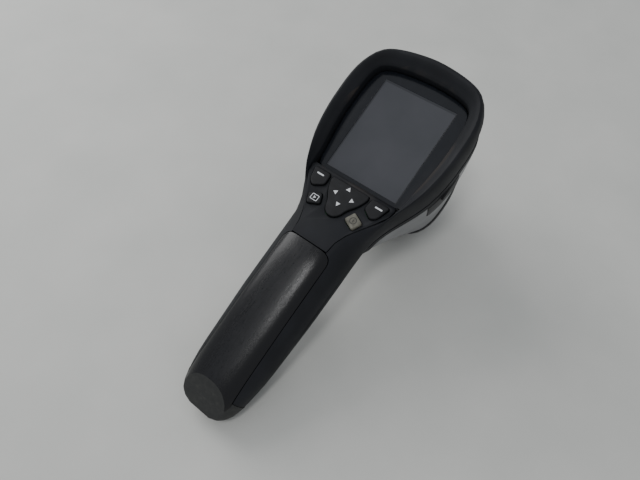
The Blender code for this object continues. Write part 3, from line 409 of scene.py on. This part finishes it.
def raise_print():
    """Gives the flat print being drawn its thickness."""
    bpy.ops.mesh.select_all(action="SELECT")
    bpy.ops.mesh.extrude_region_move(TRANSFORM_OT_translate={"value": (0, 0, PRINT)})
    bpy.ops.mesh.select_all(action="SELECT")
    bpy.ops.mesh.normals_make_consistent(inside=False)
    bpy.ops.object.mode_set(mode="OBJECT")


def printed(name, body, ink, across, along, height, turn=0.0):
    """Lays the print just drawn on its key: its place on the display's axes, in millimetres."""
    piece = bpy.context.object
    piece.name = name
    spot = Vector((across, (along - KEYPAD_TOP.y) / cos(KEYPAD_TILT), height - SUNK)) * MM
    piece.matrix_world = KEYPAD_AXES @ Matrix.Translation(spot) @ Matrix.Rotation(radians(turn), 4, "Z")
    alone(piece)
    bpy.ops.object.transform_apply(location=True, rotation=True, scale=True)
    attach(piece, body)
    coat(piece, ink)


def outline_only(width):
    """Turns the selected flat shape into a line of this width along its edge."""
    bpy.ops.mesh.inset(thickness=width * MM, depth=0)
    bpy.ops.mesh.delete(type="FACE")


def draw_bar(width, height, corner=0.0):
    """Starts a print as a flat bar, its size and the radius of its corners in millimetres."""
    bpy.ops.object.select_all(action="DESELECT")
    bpy.ops.mesh.primitive_plane_add(size=1.0 * MM)
    bpy.ops.object.mode_set(mode="EDIT")
    bpy.ops.transform.resize(value=(width, height, 1))
    if corner:
        bpy.ops.mesh.bevel(offset=corner * MM, segments=4, affect="VERTICES")


def draw_arrow(radius):
    """Starts a print as a flat arrowhead that points right, in a circle of this radius."""
    bpy.ops.object.select_all(action="DESELECT")
    bpy.ops.mesh.primitive_circle_add(vertices=3, radius=radius * MM, fill_type="NGON")
    bpy.ops.object.mode_set(mode="EDIT")
    bpy.ops.transform.rotate(value=radians(90), orient_axis="Z", center_override=(0, 0, 0))


for name, across, along, turn in (("up", 0, -36.9, 90), ("right", 5.1, -41.4, 0),
                                  ("left", -5.1, -41.4, 180), ("down", 0, -46.4, -90)):
    draw_arrow(1.5)
    raise_print()
    printed("nav_arrow_" + name, "nav_pad", ink_white, across, along, 1.3, turn)

for name, across, along in (("left", -18.3, -37.2), ("right", 19.2, -37.5)):
    draw_bar(4.4, 0.85, corner=0.38)
    raise_print()
    printed("select_dash_" + name, name + "_select_key", ink_white, across, along, 1.2)

draw_bar(4.4, 3.5, corner=0.6)
outline_only(0.38)
raise_print()
printed("archive_frame", "archive_key", ink_white, -12.5, -49.7, 1.2)
draw_arrow(1.0)
raise_print()
printed("archive_play", "archive_key", ink_white, -12.6, -49.7, 1.2)

bpy.ops.object.select_all(action="DESELECT")
bpy.ops.mesh.primitive_circle_add(vertices=36, radius=1.9 * MM, fill_type="NGON")
bpy.ops.object.mode_set(mode="EDIT")
outline_only(0.35)
raise_print()
printed("power_ring", "power_key", ink_dark, 12.5, -49.9, 1.6)
draw_bar(0.4, 1.9)
raise_print()
printed("power_bar", "power_key", ink_dark, 12.5, -49.9, 1.6)


# ---- Battery cover: the front of the grip.
# Polished black ABS.  Years of palms have left a haze of fine scratches down its middle, and its
# lower end is cut off at a slant and left matte, like the butt that it runs on to.
polished, tree, surface, axes = start("polished_abs_black")
along_grip = add(tree, "ShaderNodeMapping", {"Scale": (1.6, 0.12, 1.6)}, {"Vector": axes})
streaks = add(tree, "ShaderNodeTexNoise", {"Scale": 1.0, "Detail": 8.0, "Roughness": 0.75},
              {"Vector": along_grip.outputs["Vector"]})                                       # 0.6 x 8 mm
grit = add(tree, "ShaderNodeTexNoise", {"Scale": 1.3, "Detail": 4.0, "Roughness": 0.8}, {"Vector": axes})
split = add(tree, "ShaderNodeSeparateXYZ", links={"Vector": axes})
middle = add(tree, "ShaderNodeMath", links={0: split.outputs["X"]}, operation="ABSOLUTE")
palm = add(tree, "ShaderNodeMapRange", {"From Min": 3.0, "From Max": 12.0, "To Min": 1.0, "To Max": 0.25},
           {"Value": middle.outputs["Value"]})
scratch = add(tree, "ShaderNodeMath", links={0: streaks.outputs["Fac"], 1: grit.outputs["Fac"]},
              operation="MULTIPLY")
haze = add(tree, "ShaderNodeMath", links={0: scratch.outputs["Value"], 1: palm.outputs["Result"]},
           operation="MULTIPLY")
coloured(tree, surface, haze.outputs["Value"], [(0.12, "#090a0d"), (0.32, "#121317"), (0.5, "#2b2c31")])
gloss = add(tree, "ShaderNodeMapRange", {"From Min": 0.1, "From Max": 0.36, "To Min": 0.22, "To Max": 0.42},
            {"Value": haze.outputs["Value"]})
tree.links.new(gloss.outputs["Result"], surface.inputs["Roughness"])
relieved(tree, surface, haze.outputs["Value"], 0.8, 0.22)
surface.inputs["IOR"].default_value = 1.53
surface.inputs["Specular IOR Level"].default_value = 0.36      # the scratches scatter most of it

butt_abs, tree, surface, axes = start("scuffed_abs_grey_black")
knocks = add(tree, "ShaderNodeTexNoise", {"Scale": 0.35, "Detail": 7.0, "Roughness": 0.65}, {"Vector": axes})
coloured(tree, surface, knocks.outputs["Fac"], [(0.3, "#1f2020"), (0.55, "#292a29"), (0.8, "#3d3d39")])
surface.inputs["Roughness"].default_value = 0.7
relieved(tree, surface, knocks.outputs["Fac"], 0.35, 0.06)
surface.inputs["IOR"].default_value = 1.53

cover = moulded("battery_cover", polished, edge=0.9, steps=3, angle=24, flat=0.5)
cover.data.materials.append(butt_abs)
SLANT_FROM = -152 * MM                      # the slanted end lies beyond this, along the camera
SLANT_TURN = radians(32.0)                  # against the display
LIES_IN_SLANT = 0.995                       # cosine that a face's direction has to reach
slant = CAMERA_AXES.to_3x3() @ Matrix.Rotation(SLANT_TURN, 3, "X") @ Vector((0, 0, 1))
for face in cover.data.polygons:
    on_end = (CAMERA_AXES.inverted() @ face.center).y < SLANT_FROM
    if on_end and face.normal.dot(slant) > LIES_IN_SLANT:
        face.material_index = 1
moulded("butt_cap", butt_abs, edge=0.5, steps=3, angle=30)


# ---- Battery and boards.
# The battery is a lithium pack in a blue heat-shrink wrap.  The boards are glass-epoxy with a green
# solder mask, and four screws hold the main one to the inner frame.
wrap, tree, surface, axes = start("heat_shrink_blue")
wrinkle = add(tree, "ShaderNodeTexNoise", {"Scale": 0.2, "Detail": 3.0}, {"Vector": axes})
coloured(tree, surface, wrinkle.outputs["Fac"], [(0.3, "#16284a"), (0.7, "#203660")])
surface.inputs["Roughness"].default_value = 0.35
relieved(tree, surface, wrinkle.outputs["Fac"], 0.3, 0.1)
coat(frame["nodes"]["battery"], wrap)

solder_mask, tree, surface, axes = start("glass_epoxy_green_mask")
tracks = add(tree, "ShaderNodeTexBrick", {"Scale": 0.4, "Mortar Size": 0.06,
                                          "Color1": linear("#0e4a28"), "Color2": linear("#11512d"),
                                          "Mortar": linear("#1c6b3d")}, {"Vector": axes})
tree.links.new(tracks.outputs["Color"], surface.inputs["Base Color"])
surface.inputs["Roughness"].default_value = 0.4
for node_name in ("main_board", "connector_board", "keypad_board"):
    coat(frame["nodes"][node_name], solder_mask)


# ---- Switch, sockets, contacts, pins, screws and strap bar.
# The switch, the power socket, the memory card and the keypad's gimbal are glass-filled nylon, the
# contacts nickel-plated brass, and the metal sockets, pins, screws and bar zinc-plated steel.
nylon, tree, surface, axes = start("glass_filled_nylon_black")
fibre = add(tree, "ShaderNodeTexNoise", {"Scale": 1.6, "Detail": 5.0}, {"Vector": axes})      # 0.6 mm
coloured(tree, surface, fibre.outputs["Fac"], [(0.3, "#121213"), (0.75, "#222224")])
surface.inputs["Roughness"].default_value = 0.55
relieved(tree, surface, fibre.outputs["Fac"], 0.3, 0.04)
surface.inputs["IOR"].default_value = 1.53
for node_name in ("trigger_switch", "power_socket", "memory_card", "nav_gimbal"):
    coat(frame["nodes"][node_name], nylon)

brass, tree, surface, axes = start("nickel_plated_brass")
tarnish = add(tree, "ShaderNodeTexNoise", {"Scale": 0.6, "Detail": 4.0}, {"Vector": axes})    # 1.7 mm
coloured(tree, surface, tarnish.outputs["Fac"], [(0.3, "#a08a5c"), (0.7, "#c0b08a")])
surface.inputs["Metallic"].default_value = 1.0
surface.inputs["Roughness"].default_value = 0.35
coat(frame["nodes"]["battery_contacts"], brass)

zinc, tree, surface, axes = start("zinc_plated_steel")
spangle = add(tree, "ShaderNodeTexNoise", {"Scale": 1.2, "Detail": 4.0}, {"Vector": axes})    # 0.8 mm
coloured(tree, surface, spangle.outputs["Fac"], [(0.3, "#8e9092"), (0.7, "#b3b5b6")])
surface.inputs["Metallic"].default_value = 1.0
glossed(tree, surface, spangle.outputs["Fac"], 0.28, 0.42)
for node_name in ("usb_socket", "card_socket", "shutter_pin", "trigger_pin",
                  "neck_screw_left", "neck_screw_right", "board_screw_upper_left",
                  "board_screw_upper_right", "board_screw_lower_left", "board_screw_lower_right"):
    coat(frame["nodes"][node_name], zinc)
moulded("strap_bar", zinc, edge=0.15)


# ---- Lens: bezel, shutter, germanium, barrel and detector.
# The bezel and the shutter are glass-filled nylon, and the lens is germanium with a hard coating.
# Its barrel, the detector's housing and the frame behind the display are anodised aluminium.
moulded("lens_bezel", nylon, edge=0.15)
moulded("shutter_blade", nylon, edge=0.15)

germanium, tree, surface, axes = start("coated_germanium")
film = add(tree, "ShaderNodeTexNoise", {"Scale": 0.1, "Detail": 2.0}, {"Vector": axes})
coloured(tree, surface, film.outputs["Fac"], [(0.3, "#4e5157"), (0.7, "#5d5a66")])
surface.inputs["Metallic"].default_value = 1.0
surface.inputs["Roughness"].default_value = 0.06
surface.inputs["Coat Weight"].default_value = 0.5
moulded("germanium_lens", germanium, edge=0.0, angle=40)

anodised, tree, surface, axes = start("clear_anodised_aluminium")
turning = add(tree, "ShaderNodeTexNoise", {"Scale": 2.5, "Detail": 2.0}, {"Vector": axes})
coloured(tree, surface, turning.outputs["Fac"], [(0.3, "#a9abad"), (0.7, "#bcbec0")])
surface.inputs["Metallic"].default_value = 1.0
surface.inputs["Roughness"].default_value = 0.35
for node_name in ("lens_barrel", "detector_module", "inner_frame"):
    coat(frame["nodes"][node_name], anodised)
coat(frame["nodes"]["lens_o_ring"], rubber)


# ---- Trigger.
# One lever of glass-filled nylon that turns on a zinc-plated steel pin through the shell.  Five
# round ribs are moulded across its face for the finger.
lever = moulded("trigger", nylon, edge=0.5, steps=3)

FIRST_RIB = -83.0                           # its distance from the display's middle, along the camera
RIB_PITCH = 3.4
for index in range(5):
    moulded_rib(lever, (0, FIRST_RIB - RIB_PITCH * index, -50.0), "trigger_rib_%d" % index, "trigger",
                nylon, length=17.0, turned_about="Y", sides=20)


# ---- Table, light and view.
# The camera lies on a pale laminate top.  A wide window lights it from its left, and a small panel
# overhead draws the streak down the grip.  The view looks down on the display past the grip.
bpy.ops.mesh.primitive_plane_add(size=4.0, location=(0, 0, 0))
table = bpy.context.object
table.name = "table_top"
laminate, tree, surface, axes = start("pale_laminate")
mottle = add(tree, "ShaderNodeTexNoise", {"Scale": 0.02, "Detail": 6.0}, {"Vector": axes})    # 50 mm
coloured(tree, surface, mottle.outputs["Fac"], [(0.3, "#c9cac5"), (0.7, "#d1d1cc")])
surface.inputs["Roughness"].default_value = 0.55
coat(table, laminate)

AIM = Vector((0, 0, 0.05))                  # the middle of the camera, about


def soft_light(name, size, power, place):
    """A soft square light that looks at the camera on the table."""
    bpy.ops.object.light_add(type="AREA", location=place)
    lamp = bpy.context.object
    lamp.name = name
    lamp.data.size = size
    lamp.data.energy = power
    lamp.rotation_euler = (AIM - Vector(place)).to_track_quat("-Z", "Y").to_euler()


soft_light("window_side", 1.0, 10.5, (-1.2, 0.2, 0.8))
soft_light("ceiling_panel", 0.22, 4.4, (0.14, -0.56, 1.4))
world = bpy.data.worlds.new("pale_room")
world.use_nodes = True
world.node_tree.nodes["Background"].inputs["Color"].default_value = linear("#e6e9ee")
world.node_tree.nodes["Background"].inputs["Strength"].default_value = 0.6
bpy.context.scene.world = world

VIEW_PLACE = (0.10930, -0.15242, 0.29433)
VIEW_TURN = (36.414, -0.760, 38.514)        # degrees
bpy.ops.object.camera_add(location=VIEW_PLACE, rotation=[radians(turn) for turn in VIEW_TURN])
view = bpy.context.object
view.name = "view_camera"
view.data.lens = 32.6
view.data.sensor_width = 36.0
bpy.context.scene.camera = view
